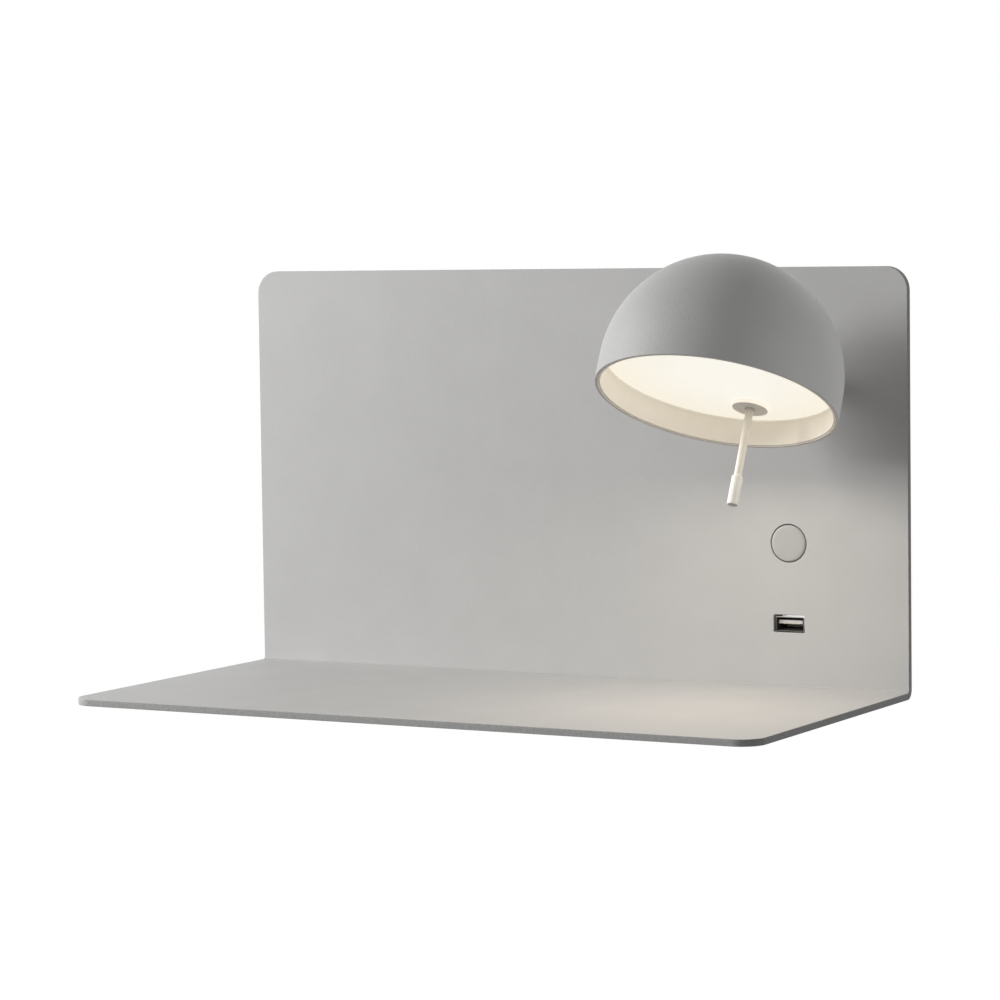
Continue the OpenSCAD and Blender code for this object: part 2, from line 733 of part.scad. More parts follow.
module tilt_tongue() color([0.7, 0.7, 0.7]) translate([lamp_x, joint_y, lamp_z]) difference() {
    union() {
        translate([0, neck, 0]) along_y(arm_d, plug_t);
        translate([-tongue_t / 2, 0, 0]) along_x(2 * tongue_r, tongue_t);
        translate([-tongue_t / 2, 0, -tongue_r]) cube([tongue_t, neck + eps, 2 * tongue_r]);
    }
    translate([-tongue_t, 0, 0]) along_x(bolt_d + 2 * fit, 2 * tongue_t);
}

// Turns with the arm; its tab meets the peg at each end of the swivel
module stop_washer() color([0.75, 0.75, 0.75]) on_arm(stop_y) difference() {
    union() {
        cylinder(r = stop_r, h = stop_t);
        linear_extrude(stop_t) intersection() {
            circle(tab_r);
            polygon([[0, 0], for (s = [-1, 0, 1]) 2 * tab_r * [sin(s * tab_half), -cos(s * tab_half)]]);
        }
    }
    translate([0, 0, -1]) cylinder(d = arm_d + 2 * fit, h = stop_t + 2);
}

module wave_washer() color([0.8, 0.8, 0.8])
    on_arm(stop_y + stop_t) washer(arm_d * 1.7, arm_d + 2 * fit, wave_t);

module arm_nut() color([0.8, 0.8, 0.8]) on_arm(nut_y) nut(arm_nut_w, arm_d + 2 * fit, arm_nut_t);

// Runs along the bore, then turns up and out through the hole in the arm's top
module arm_lead() color([0.9, 0.9, 0.88]) translate([lamp_x, joint_y + lead_hole_at, lamp_z]) {
    translate([0, bend_r, 0]) along_y(lead_d, arm_rear - joint_y - lead_hole_at - bend_r);
    translate([0, bend_r, bend_r]) rotate([90, 0, -90]) rotate_extrude(angle = -90)
        translate([bend_r, 0]) circle(d = lead_d);
    translate([0, 0, bend_r]) cylinder(d = lead_d, h = arm_d / 2 - bend_r);
}

// ---------------------------------------------------------------- tilt joint

module tilt_yoke() color([0.62, 0.62, 0.63]) in_head() difference() {
    union() {
        translate([-yoke_half, -yoke_depth / 2, yoke_z]) cube([2 * yoke_half, yoke_depth, yoke_base_t]);
        for (x = [-cheek_x - cheek_t, cheek_x]) {
            translate([x, 0, 0]) along_x(2 * cheek_r, cheek_t);
            translate([x, -cheek_r, yoke_z]) cube([cheek_t, 2 * cheek_r, -yoke_z]);
        }
    }
    translate([-yoke_half, 0, 0]) along_x(bolt_d + 2 * fit, 2 * yoke_half);
    translate([0, 0, yoke_z - 1]) cylinder(d = stick_d + 2 * fit, h = 1 + yoke_base_t + 1);
    for (x = [-1, 1]) translate([x * yoke_screw_x, 0, yoke_z - 1])
        cylinder(d = yoke_screw_d + 2 * fit, h = yoke_base_t + 2);
}

module tilt_bolt() color([0.3, 0.3, 0.31]) in_head() difference() {
    union() {
        translate([-cheek_x - cheek_t - bolt_head_t, 0, 0]) along_x(bolt_head_d, bolt_head_t);
        translate([-cheek_x - cheek_t - eps, 0, 0])
            along_x(bolt_d, 2 * (cheek_x + cheek_t) + spring_t + tilt_nut_t + 0.6);
    }
    translate([-cheek_x - cheek_t - bolt_head_t - 1, 0, 0]) rotate([0, 90, 0]) hex(2.5, 2.2);
}

module friction_discs() color([0.35, 0.2, 0.12]) in_head() for (x = [-cheek_x, tongue_t / 2])
    translate([x, 0, 0]) rotate([0, 90, 0]) washer(2 * tongue_r, bolt_d + 2 * fit, friction_t);

module spring_washer() color([0.75, 0.75, 0.75]) in_head()
    translate([cheek_x + cheek_t, 0, 0]) rotate([0, 90, 0])
        washer(bolt_head_d, bolt_d + 2 * fit, spring_t);

module tilt_nut() color([0.75, 0.75, 0.75]) in_head()
    translate([cheek_x + cheek_t + spring_t, 0, 0]) rotate([0, 90, 0])
        nut(tilt_nut_w, bolt_d + 2 * fit, tilt_nut_t);

// ---------------------------------------------------------------- shade

// Half of the dome's outline at radius r: a quarter circle on a straight skirt
module dome_half(r) {
    intersection() {
        circle(r);
        square(r);
    }
    translate([0, -skirt_h]) square([r, skirt_h]);
}

// The room that the arm needs as the head tilts round it
module arm_sweep() {
    half = arm_d / 2 + slot_gap;
    reach = shade_d;
    up = [-sin(tilt_limit), cos(tilt_limit)];
    translate([-half, 0, 0]) rotate([90, 0, 90]) linear_extrude(2 * half) polygon([
        [0, -half], [reach, -half], [reach, 0],
        for (a = [0.25, 0.5, 0.75, 1] * tilt_limit) reach * [cos(a), sin(a)],
        reach * [cos(tilt_limit), sin(tilt_limit)] + half * up, half * up
    ]);
}

module shade_shell() color([0.77, 0.76, 0.75]) in_head() difference() {
    union() {
        on_shade_axis() translate([0, 0, equator_z]) rotate_extrude() difference() {
            dome_half(shade_r);
            intersection() {
                circle(inner_r);
                square(inner_r);
            }
            translate([0, -skirt_h - 1]) square([inner_r, skirt_h + 1]);
        }
        intersection() {
            at_bosses() translate([0, 0, tray_z + tray_t]) cylinder(d = boss_d, h = shade_r);
            on_shade_axis() translate([0, 0, equator_z]) sphere(shade_r - shade_wall / 2);
        }
    }
    arm_sweep();
    at_bosses() translate([0, 0, tray_z]) cylinder(d = tray_screw_d + 2 * fit, h = 10);
}

// White ring inside the shade, with a ledge under the diffuser's edge
module shade_liner() color([0.95, 0.93, 0.88]) in_head() on_shade_axis() rotate_extrude() polygon([
    [liner_in, rim_z + liner_lift], [liner_r, rim_z + liner_lift], [liner_r, equator_z],
    [liner_r - 0.2, diffuser_z + diffuser_t], [liner_in, diffuser_z + diffuser_t],
    [liner_in, diffuser_z], [liner_in - ledge, diffuser_z],
    [liner_in - ledge, diffuser_z - ledge], [liner_in, diffuser_z - 2 * ledge]
]);

module diffuser() color([1, 0.97, 0.9]) in_head() difference() {
    on_shade_axis() translate([0, 0, diffuser_z]) cylinder(r = liner_in - 0.1, h = diffuser_t);
    translate([0, 0, diffuser_z - 1]) cylinder(d = stick_hole_d, h = diffuser_t + 2);
}

// Dished plate that presses the diffuser onto the liner's ledge and carries the LED board
module led_tray() color([0.93, 0.93, 0.93]) in_head() difference() {
    on_shade_axis() {
        translate([0, 0, tray_z]) cylinder(r = tray_r, h = tray_t);
        translate([0, 0, diffuser_z + diffuser_t]) difference() {
            cylinder(r = tray_r, h = tray_z - diffuser_z - diffuser_t + eps);
            translate([0, 0, -1]) cylinder(r = tray_r - tray_flange, h = tray_z - diffuser_z);
        }
    }
    translate([0, 0, tray_z - 1]) cylinder(d = stick_hole_d, h = tray_t + 2);
    translate([0, lead_pad_y, tray_z - 1]) cylinder(d = lead_d + 1.2, h = tray_t + 2);
    for (x = [-1, 1]) translate([x * yoke_screw_x, 0, tray_z - 1])
        cylinder(d = yoke_screw_d + 2 * fit, h = tray_t + 2);
    at_bosses() translate([0, 0, tray_z - 1]) cylinder(d = tray_screw_d + 2 * fit, h = tray_t + 2);
}

module led_board() color([0.9, 0.9, 0.88]) in_head() on_shade_axis()
    translate([0, 0, led_board_z]) cylinder(d = led_board_d, h = led_board_t);

module leds() color([1, 0.9, 0.6]) in_head() on_shade_axis()
    for (ring = led_rings, i = [1 : ring[1]]) rotate([0, 0, 360 * i / ring[1]])
        translate([ring[0] - led_size[0] / 2, -led_size[1] / 2, led_board_z - led_size[2]])
            cube(led_size);

module tray_screws() color([0.75, 0.75, 0.75]) in_head()
    at_bosses() translate([0, 0, tray_z]) rotate([180, 0, 0]) pan_screw(tray_screw_d, tray_t + 7);

module yoke_screws() color([0.75, 0.75, 0.75]) in_head() for (x = [-1, 1])
    translate([x * yoke_screw_x, 0, tray_z]) rotate([180, 0, 0])
        pan_screw(yoke_screw_d, tray_t + yoke_base_t);

// From the hole in the arm over the joint and down to the LED board
module head_lead() color([0.9, 0.9, 0.88]) {
    pad = [lamp_x, joint_y, lamp_z] + lead_pad_y * [0, cos(rest_tilt), -sin(rest_tilt)]
        + (led_board_z + led_board_t) * [0, sin(rest_tilt), cos(rest_tilt)];
    lead([
        [lamp_x, joint_y + lead_hole_at, lamp_z + arm_d / 2],
        [lamp_x, joint_y + lead_hole_at, lamp_z + arm_d / 2 + 4],
        [lamp_x, joint_y + lead_hole_at - 6, lamp_z + 14],
        [lamp_x, joint_y - 7, lamp_z + 14],
        pad + 7 * [0, sin(rest_tilt), cos(rest_tilt)],
        pad
    ], [1, 0, 0]);
}

// ---------------------------------------------------------------- aiming stick

module stick_cap() color([0.68, 0.65, 0.6]) in_head() translate([0, 0, diffuser_z - cap_t])
    difference() {
        rotate_extrude() polygon([[0, 0], [cap_d / 2 - cap_bevel, 0], [cap_d / 2, cap_bevel],
            [cap_d / 2, cap_t], [0, cap_t]]);
        translate([0, 0, -1]) cylinder(d = stick_d + 2 * fit, h = cap_t + 2);
        translate([0, 0, -eps]) cylinder(d1 = stick_d + 2, d2 = stick_d, h = 1);
    }

module stick_rod() color([0.95, 0.93, 0.88]) in_head() translate([0, 0, stick_tip + grip_floor])
    cylinder(d = stick_d, h = yoke_z + yoke_base_t - stick_tip - grip_floor);

module stick_grip() color([0.95, 0.93, 0.88]) in_head() translate([0, 0, stick_tip]) difference() {
    rotate_extrude() polygon([
        [0, 0], [grip_d / 2 - grip_bevel, 0], [grip_d / 2, grip_bevel],
        [grip_d / 2, grip_l - grip_shoulder], [stick_d / 2 + grip_bevel, grip_l], [0, grip_l]
    ]);
    translate([0, 0, grip_floor]) cylinder(d = stick_d + 2 * fit, h = grip_l);
}

// ---------------------------------------------------------------- nodes

shelf_panel();
rear_frame();
panel_studs();
stud_nuts();
wall_bracket();
frame_screws();
cable_grommet();
terminal_block();
terminal_screws();
earth_stud();
earth_nut();
led_driver();
mains_lead();
lamp_lead();
switch_lead();
usb_lead();
usb_shell();
usb_tongue();
usb_contacts();
usb_board();
usb_parts();
usb_bracket();
usb_screws();
switch_bracket();
switch_body();
button_cap();
button_plunger();
arm_bush();
friction_ring();
stop_peg();
arm_tube();
tilt_tongue();
stop_washer();
wave_washer();
arm_nut();
arm_lead();
tilt_yoke();
tilt_bolt();
friction_discs();
spring_washer();
tilt_nut();
shade_shell();
shade_liner();
diffuser();
led_tray();
led_board();
leds();
tray_screws();
yoke_screws();
head_lead();
stick_cap();
stick_rod();
stick_grip();
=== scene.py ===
"""Wall lamp with a shelf: softened edges, a procedural material for every node, studio light, a plain
floor and the camera at the photograph's angle.

Metres, in the model's own frame: the origin is on the wall behind the lamp, +X is to the right of
someone facing it, +Y goes into the wall and +Z is up.
"""

import json
import math

import bmesh
import bpy
from mathutils import Matrix, Vector

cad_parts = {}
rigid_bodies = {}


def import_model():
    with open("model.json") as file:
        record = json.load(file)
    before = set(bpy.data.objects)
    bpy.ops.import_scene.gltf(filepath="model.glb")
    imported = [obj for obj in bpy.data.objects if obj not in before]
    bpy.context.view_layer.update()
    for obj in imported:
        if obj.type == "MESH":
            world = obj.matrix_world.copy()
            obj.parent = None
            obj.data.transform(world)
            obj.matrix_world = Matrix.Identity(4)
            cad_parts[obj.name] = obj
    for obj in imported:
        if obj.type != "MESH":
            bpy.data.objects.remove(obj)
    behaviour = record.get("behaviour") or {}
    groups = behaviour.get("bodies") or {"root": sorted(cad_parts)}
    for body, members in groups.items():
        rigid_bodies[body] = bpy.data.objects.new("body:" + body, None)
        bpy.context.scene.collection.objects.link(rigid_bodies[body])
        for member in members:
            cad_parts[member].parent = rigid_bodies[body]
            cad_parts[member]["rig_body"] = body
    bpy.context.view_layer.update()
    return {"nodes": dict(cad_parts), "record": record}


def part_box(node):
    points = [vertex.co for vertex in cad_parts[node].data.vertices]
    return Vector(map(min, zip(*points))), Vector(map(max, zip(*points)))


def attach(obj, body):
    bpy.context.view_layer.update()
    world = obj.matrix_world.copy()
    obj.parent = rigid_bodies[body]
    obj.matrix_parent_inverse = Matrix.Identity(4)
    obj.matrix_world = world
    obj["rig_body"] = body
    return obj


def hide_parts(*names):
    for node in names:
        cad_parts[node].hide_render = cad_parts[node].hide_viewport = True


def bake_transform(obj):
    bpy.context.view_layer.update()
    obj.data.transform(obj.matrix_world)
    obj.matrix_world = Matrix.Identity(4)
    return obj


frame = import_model()

MM = 0.001

# ------------------------------------------------------------------ colours

COAT = (0.49, 0.487, 0.479)
# The stick's ivory, lighter on the grip and darker on the rod: painted light and painted shade on one
# material, as the LEDs' light reaches the rod more than the grip.
IVORY = (0.85, 0.82, 0.76)
ROD_IVORY_PAINTED_SHADE = (0.79, 0.74, 0.66)
LINER = (0.84, 0.80, 0.72)
CAP = (0.82, 0.77, 0.71)
RIM = (0.60, 0.545, 0.495)
OPAL = (0.35, 0.34, 0.32)
# Painted shade and painted highlight of the socket's lip
LIP_PAINTED_SHADE = (0.1, 0.098, 0.092)
LIP_PAINTED_HIGHLIGHT = (0.6, 0.59, 0.57)

# The diffuser's own light: its colours and its strength
GLOW_IN_MIDDLE = (1.0, 0.975, 0.89)
GLOW_AT_EDGE = (0.93, 0.87, 0.74)
GLOW_STRENGTH = 0.765
# A gradient from 1 in the middle to 0 at this many radii turns it from one colour to the other,
# between these two of its values
GLOW_REACH = 1.35
GLOW_FALL = (0.24, 0.75)

# Light that bleeds through a plastic: how far each of red, green and blue goes, and the scale
BLEED_RADIUS = (1.0, 0.9, 0.8)
BLEED_SCALE = 1.5 * MM

# ------------------------------------------------------------------ materials


def new_material(name):
    """An empty node material with a Principled shader, as (material, shader)."""
    material = bpy.data.materials.new(name + "_finish")
    material.use_nodes = True
    tree = material.node_tree
    tree.nodes.clear()
    shader = tree.nodes.new("ShaderNodeBsdfPrincipled")
    output = tree.nodes.new("ShaderNodeOutputMaterial")
    tree.links.new(shader.outputs["BSDF"], output.inputs["Surface"])
    return material, shader


def place(tree, stretch=(1, 1, 1), centre=(0, 0, 0)):
    """Object coordinates, moved so that centre is their origin and then stretched."""
    coordinates = tree.nodes.new("ShaderNodeTexCoord")
    mapping = tree.nodes.new("ShaderNodeMapping")
    mapping.inputs["Scale"].default_value = stretch
    mapping.inputs["Location"].default_value = [-c * s for c, s in zip(centre, stretch)]
    tree.links.new(coordinates.outputs["Object"], mapping.inputs["Vector"])
    return mapping.outputs["Vector"]


def noise(tree, size, detail=2.0, stretch=(1, 1, 1)):
    """Noise whose features are about size metres across."""
    texture = tree.nodes.new("ShaderNodeTexNoise")
    texture.inputs["Scale"].default_value = 1 / size
    texture.inputs["Detail"].default_value = detail
    tree.links.new(place(tree, stretch), texture.inputs["Vector"])
    return texture.outputs["Fac"]


def spread(tree, value, low, high, start=0.3, end=0.7):
    """value from start to end, spread from low to high."""
    node = tree.nodes.new("ShaderNodeMapRange")
    tree.links.new(value, node.inputs["Value"])
    node.inputs["From Min"].default_value = start
    node.inputs["From Max"].default_value = end
    node.inputs["To Min"].default_value = low
    node.inputs["To Max"].default_value = high
    return node.outputs["Result"]


def blend_colours(tree, value, first, second):
    """From the first colour to the second as value goes from 0 to 1."""
    node = tree.nodes.new("ShaderNodeMix")
    node.data_type = "RGBA"
    tree.links.new(value, node.inputs["Factor"])
    node.inputs["A"].default_value = (*first, 1)
    node.inputs["B"].default_value = (*second, 1)
    return node.outputs["Result"]


def shade_of(colour, change):
    """The colour made lighter by a share of itself, or darker where the share is negative."""
    return tuple(min(1.0, max(0.0, c * (1 + change))) for c in colour)


def bump(tree, shader, height, depth, strength=1.0):
    """height, from 0 to 1, raises the surface by depth metres."""
    node = tree.nodes.new("ShaderNodeBump")
    node.inputs["Strength"].default_value = strength
    node.inputs["Distance"].default_value = depth
    tree.links.new(height, node.inputs["Height"])
    tree.links.new(node.outputs["Normal"], shader.inputs["Normal"])


def finish_material(
    name,
    colour,
    roughness,
    metallic=0.0,
    specular=0.5,
    patch=30 * MM,
    variation=0.03,
    grain=0.5 * MM,
    depth=0.01 * MM,
    stretch=(1, 1, 1),
    rough_spread=0.05,
    bleed=0.0,
):
    """A finish with cloudy colour patches, a fine grain in relief and roughness that varies with it."""
    material, shader = new_material(name)
    tree = material.node_tree
    clouds = spread(tree, noise(tree, patch, 3.0, stretch), 0, 1)
    tint = blend_colours(tree, clouds, shade_of(colour, -variation), shade_of(colour, variation))
    tree.links.new(tint, shader.inputs["Base Color"])
    grains = noise(tree, grain, 4.0, stretch)
    rough = spread(tree, grains, roughness - rough_spread, roughness + rough_spread)
    tree.links.new(rough, shader.inputs["Roughness"])
    bump(tree, shader, grains, depth)
    shader.inputs["Metallic"].default_value = metallic
    shader.inputs["Specular IOR Level"].default_value = specular
    if bleed:
        shader.inputs["Subsurface Weight"].default_value = bleed
        shader.inputs["Subsurface Radius"].default_value = BLEED_RADIUS
        shader.inputs["Subsurface Scale"].default_value = BLEED_SCALE
    return material


def powder_coat(name, colour, roughness=0.6, grain=0.8 * MM, depth=0.07 * MM):
    """Fine-textured powder coat: soft peaks about a millimetre apart, and a slightly uneven tone."""
    return finish_material(
        name, colour, roughness, specular=0.35, patch=25 * MM, variation=0.02,
        grain=grain, depth=depth, rough_spread=0.06,
    )


def smooth_coat(name, colour):
    """The finer coat of the small pieces, such as the stick."""
    return powder_coat(name, colour, 0.45, 0.4 * MM, 0.01 * MM)


def edge_coat(name, colour):
    """The coat on a sheet's cut edges: darker and mottled."""
    return finish_material(
        name, colour, 0.6, specular=0.2, patch=1.2 * MM, variation=0.13,
        grain=0.7 * MM, depth=0.06 * MM, rough_spread=0.08,
    )


def brushed_metal(name, colour, roughness=0.35, along="X"):
    """Metal with a fine grain drawn out along one axis."""
    stretch = {"X": (0.05, 1, 1), "Y": (1, 0.05, 1), "Z": (1, 1, 0.05)}[along]
    return finish_material(
        name, colour, roughness, metallic=1.0, patch=6 * MM, variation=0.08, grain=0.25 * MM,
        depth=0.004 * MM, stretch=stretch, rough_spread=0.1,
    )


def cast_metal(name, colour):
    """Blasted casting: dull, with a coarse grain."""
    return finish_material(
        name, colour, 0.5, metallic=1.0, patch=4 * MM, variation=0.1, grain=0.7 * MM,
        depth=0.05 * MM,
    )


def zinc_plate(name, colour):
    """Zinc plating: pale crystals a few millimetres across over a fine grain."""
    material, shader = new_material(name)
    tree = material.node_tree
    crystals = tree.nodes.new("ShaderNodeTexVoronoi")
    crystals.inputs["Scale"].default_value = 1 / (4 * MM)
    tree.links.new(place(tree), crystals.inputs["Vector"])
    tone = spread(tree, crystals.outputs["Color"], 0, 1, 0, 1)
    tint = blend_colours(tree, tone, shade_of(colour, -0.3), colour)
    tree.links.new(tint, shader.inputs["Base Color"])
    rough = spread(tree, crystals.outputs["Color"], 0.30, 0.46, 0, 1)
    tree.links.new(rough, shader.inputs["Roughness"])
    bump(tree, shader, noise(tree, 0.3 * MM, 3.0), 0.004 * MM)
    shader.inputs["Metallic"].default_value = 1.0
    return material


def plastic(name, colour, roughness=0.45, grain=0.35 * MM, depth=0.008 * MM, bleed=0.0):
    """Moulded plastic with a faint grain."""
    return finish_material(
        name, colour, roughness, patch=15 * MM, variation=0.03, grain=grain, depth=depth,
        bleed=bleed,
    )


def circuit_board(name, colour, copper):
    """Solder mask with slightly paler tracks under it, in a square layout."""
    material, shader = new_material(name)
    tree = material.node_tree
    tracks = tree.nodes.new("ShaderNodeTexBrick")
    tracks.inputs["Scale"].default_value = 1 / (6 * MM)
    tracks.inputs["Mortar Size"].default_value = 0.06
    tracks.inputs["Color1"].default_value = (*colour, 1)
    tracks.inputs["Color2"].default_value = (*shade_of(colour, -0.1), 1)
    tracks.inputs["Mortar"].default_value = (*copper, 1)
    tree.links.new(place(tree), tracks.inputs["Vector"])
    tree.links.new(tracks.outputs["Color"], shader.inputs["Base Color"])
    rough = spread(tree, noise(tree, 0.6 * MM), 0.25, 0.4)
    tree.links.new(rough, shader.inputs["Roughness"])
    bump(tree, shader, tracks.outputs["Fac"], 0.03 * MM, 0.6)
    return material


def fine_grain(tree, shader, size):
    """The faint grain of a smooth surface, with roughness that varies over size metres."""
    rough = spread(tree, noise(tree, size), 0.4, 0.55)
    tree.links.new(rough, shader.inputs["Roughness"])
    bump(tree, shader, noise(tree, 0.3 * MM), 0.004 * MM)


def glowing_opal(name, centre, radius):
    """Lit opal sheet: a soft matte face whose glow falls off a little towards its edge."""
    material, shader = new_material(name)
    tree = material.node_tree
    ball = tree.nodes.new("ShaderNodeTexGradient")
    ball.gradient_type = "SPHERICAL"
    reach = 1 / (radius * GLOW_REACH)
    tree.links.new(place(tree, (reach,) * 3, centre), ball.inputs["Vector"])
    clouds = spread(tree, noise(tree, 20 * MM), 0.96, 1.0)
    glow = tree.nodes.new("ShaderNodeMath")
    glow.operation = "MULTIPLY"
    tree.links.new(spread(tree, ball.outputs["Fac"], 0, 1, *GLOW_FALL), glow.inputs[0])
    tree.links.new(clouds, glow.inputs[1])
    tint = blend_colours(tree, glow.outputs["Value"], GLOW_AT_EDGE, GLOW_IN_MIDDLE)
    tree.links.new(tint, shader.inputs["Emission Color"])
    shader.inputs["Emission Strength"].default_value = GLOW_STRENGTH
    shader.inputs["Base Color"].default_value = (*OPAL, 1)
    fine_grain(tree, shader, 0.4 * MM)
    return material


def painted_lip_light(name, height, blur):
    """Metal with a painted highlight above a height, and painted shade below it."""
    material, shader = new_material(name)
    tree = material.node_tree
    split = tree.nodes.new("ShaderNodeSeparateXYZ")
    tree.links.new(place(tree), split.inputs["Vector"])
    above = spread(tree, split.outputs["Z"], 0, 1, height - blur, height + blur)
    tint = blend_colours(tree, above, LIP_PAINTED_SHADE, LIP_PAINTED_HIGHLIGHT)
    tree.links.new(tint, shader.inputs["Base Color"])
    fine_grain(tree, shader, 0.3 * MM)
    return material


def painted_glow_finish(name, colour, light, strength):
    """A pale finish beside the diffuser, with a painted glow: light painted into it where the lamps
    leave it darker.
    """
    material = plastic(name, colour, 0.5)
    shader = material.node_tree.nodes["Principled BSDF"]
    shader.inputs["Emission Color"].default_value = (*light, 1)
    shader.inputs["Emission Strength"].default_value = strength
    return material


# ------------------------------------------------------------------ shapes

# Points closer than this are one, and faces at less than this angle to each other are one
MERGE_DISTANCE = 0.001 * MM
FLAT_ANGLE = math.radians(0.3)
# Edges sharper than this are rounded, with this many faces across
SHARP_ANGLE = math.radians(35)
ROUND_SEGMENTS = 2


def middle(node):
    """The middle of a node's box."""
    low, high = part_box(node)
    return (low + high) / 2


def shade_direction():
    """The way the shade faces."""
    return (middle("stick_grip") - middle("stick_cap")).normalized()


def softened(node, width):
    """A copy of a node with its sharp edges rounded by width, which stands for the node."""
    source = frame["nodes"][node]
    mesh = source.data.copy()
    mesh.materials.clear()
    bm = bmesh.new()
    bm.from_mesh(mesh)
    bmesh.ops.remove_doubles(bm, verts=bm.verts, dist=MERGE_DISTANCE)
    bmesh.ops.dissolve_limit(bm, angle_limit=FLAT_ANGLE, verts=bm.verts, edges=bm.edges)
    edges = [e for e in bm.edges if len(e.link_faces) == 2 and e.calc_face_angle() > SHARP_ANGLE]
    bmesh.ops.bevel(
        bm, geom=edges, offset=width, offset_type="OFFSET", segments=ROUND_SEGMENTS, profile=0.5,
        affect="EDGES", clamp_overlap=False,
    )
    for face in bm.faces:
        face.smooth = True
    bm.to_mesh(mesh)
    bm.free()
    obj = bpy.data.objects.new(node + "_soft", mesh)
    bpy.context.scene.collection.objects.link(obj)
    shading = obj.modifiers.new("weighted_normals", "WEIGHTED_NORMAL")
    shading.weight = 100
    shading.keep_sharp = True
    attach(obj, source["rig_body"])
    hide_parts(node)
    return obj


def bent_lead():
    """A copy of the lead over the tilt joint, which leaves the arm and ends on the LED board."""
    source = frame["nodes"]["head_lead"]
    obj = bpy.data.objects.new("head_lead_bent", source.data.copy())
    obj.matrix_world = source.matrix_world
    bpy.context.scene.collection.objects.link(obj)
    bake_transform(obj)
    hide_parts("head_lead")
    return obj


def paint(obj, material):
    """One finish on all of a piece."""
    obj.data.materials.clear()
    obj.data.materials.append(material)


def paint_faces(obj, material, chosen):
    """A second finish on the faces for which chosen(spot, normal) holds, with spot their middle."""
    obj.data.materials.append(material)
    index = len(obj.data.materials) - 1
    for face in obj.data.polygons:
        if chosen(face.center, face.normal):
            face.material_index = index


# ------------------------------------------------------------------ the lamp's finishes

# Nodes whose edges show, with the radius of their edges in millimetres
SOFT_EDGES = {
    "shelf_panel": 0.35,
    "shade_shell": 0.3,
    "shade_liner": 0.1,
    "rear_frame": 0.3,
    "wall_bracket": 0.2,
    "button_cap": 0.15,
    "usb_shell": 0.06,
    "stick_grip": 0.1,
    "stick_cap": 0.1,
    "arm_tube": 0.2,
    "arm_bush": 0.2,
    "led_driver": 0.5,
    "terminal_block": 0.3,
}

# The panel: its sheet, how far its fold reaches beyond that, and the radius round the button within
# which nothing is a cut edge
SHEET = 3.2 * MM
FOLD = 2 * MM
BUTTON_ROOM = 15 * MM
# Ahead of the diffuser's middle: where the liner's ledge ends, and where the shade's rim begins
LEDGE_END = 2.2 * MM
RIM_START = 5 * MM
# The socket's lip: its depth, the height over the shell's middle where its painted highlight
# begins, and how far from there the change reaches
LIP_DEPTH = 0.2 * MM
LIP_HEIGHT = 2.9 * MM
LIP_BLUR = 0.2 * MM
# Cosines of the angle between a face's normal and a direction: the face looks that way over FACING,
# lies square to it over MAINLY, lies along it under ACROSS, and leans that way over LEANING or SLANTED
FACING = 0.95
MAINLY = 0.6
ACROSS = 0.5
LEANING = 0.3
SLANTED = 0.2


def finishes():
    """One material for each of the record's slots."""
    low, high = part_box("diffuser")
    radius = (high.x - low.x) / 2
    button = shade_of(COAT, -0.16)
    # The lampshade's coat is the panel's made darker: partly its own tone, and partly painted shade that
    # tones down its lit side.
    shade = shade_of(COAT, -0.18)
    return {
        "panel_coat": powder_coat("panel_coat", COAT),
        "frame_coat": powder_coat("frame_coat", shade_of(COAT, -0.05)),
        "zinc": zinc_plate("zinc", (0.62, 0.62, 0.63)),
        "steel": brushed_metal("steel", (0.45, 0.45, 0.47)),
        "black_rubber": plastic("black_rubber", (0.025, 0.025, 0.025), 0.7, 0.6 * MM, 0.02 * MM),
        "terminal_plastic": plastic("terminal_plastic", (0.78, 0.75, 0.66), 0.45, bleed=0.2),
        "brass": brushed_metal("brass", (0.72, 0.54, 0.24), 0.3, "Z"),
        "driver_case": plastic("driver_case", (0.74, 0.74, 0.72), 0.5, 0.5 * MM, 0.02 * MM),
        "dark_lead": plastic("dark_lead", (0.035, 0.035, 0.04), 0.4),
        "pale_lead": plastic("pale_lead", (0.74, 0.72, 0.68), 0.4),
        "red_lead": plastic("red_lead", (0.5, 0.03, 0.025), 0.4),
        "socket_metal": brushed_metal("socket_metal", (0.7, 0.7, 0.69), 0.5, "Y"),
        "socket_plastic": plastic("socket_plastic", (0.57, 0.565, 0.56), 0.4),
        "board_green": circuit_board("board_green", (0.015, 0.11, 0.045), (0.05, 0.2, 0.08)),
        "black_plastic": plastic("black_plastic", (0.02, 0.02, 0.022), 0.5),
        "button_coat": powder_coat("button_coat", button, 0.45, 0.6 * MM, 0.015 * MM),
        "friction_fibre": plastic("friction_fibre", (0.14, 0.06, 0.035), 0.75, 0.8 * MM, 0.04 * MM),
        "arm_coat": powder_coat("arm_coat", COAT),
        "yoke_cast": cast_metal("yoke_cast", (0.3, 0.3, 0.31)),
        "shade_coat": powder_coat("shade_coat", shade, grain=1.2 * MM, depth=0.14 * MM),
        "liner_white": plastic("liner_white", LINER, 0.5),
        "opal": glowing_opal("opal", (low + high) / 2, radius),
        "tray_aluminium": brushed_metal("tray_aluminium", (0.8, 0.8, 0.8), 0.35),
        "board_white": circuit_board("board_white", (0.75, 0.75, 0.72), (0.6, 0.6, 0.58)),
        "led_yellow": plastic("led_yellow", (0.85, 0.65, 0.15), 0.3, bleed=0.3),
        "cap_coat": smooth_coat("cap_coat", CAP),
        "stick_ivory": smooth_coat("stick_ivory", IVORY),
    }


